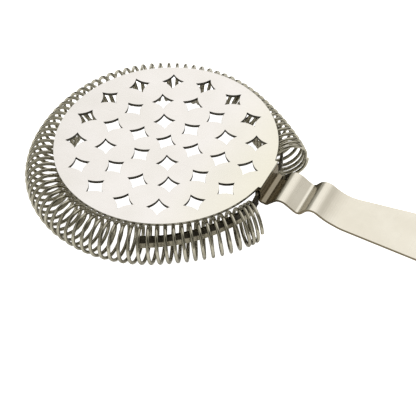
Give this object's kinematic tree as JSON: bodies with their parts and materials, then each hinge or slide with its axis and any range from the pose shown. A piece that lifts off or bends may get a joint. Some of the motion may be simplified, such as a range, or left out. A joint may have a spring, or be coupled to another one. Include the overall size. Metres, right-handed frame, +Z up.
{
  "type": "hawthorne strainer",
  "caption": "Bar strainer: pierced steel disc on a waved strap handle, with a coil spring hung in a C on two strips under the rim.",
  "frame": {"origin": "centre of the disc, on its top face", "axes": "+X along the handle, away from the disc; +Z up out of the disc's top face; the spring hangs below, towards -Z"},
  "size_m": [0.182, 0.093, 0.0155],
  "materials": {
    "plate_steel": "satin",
    "strap_steel": "satin",
    "band_steel": "bright rolled strip",
    "spring_wire": "bright drawn wire",
    "weld_steel": "fused"
  },
  "bodies": {
    "frame": {"strainer_plate": "plate_steel", "handle_strap": "strap_steel", "spring_band": "band_steel", "spot_welds": "weld_steel"},
    "spring": {"coil_spring": "spring_wire"}
  },
  "joints": [
    {"name": "spring_press", "type": "slide", "parent": "frame", "child": "spring", "axis": [1, 0, 0], "range_m": [0, 0.004], "stiffness_N_per_m": 400, "deforming": ["coil_spring"]}
  ]
}
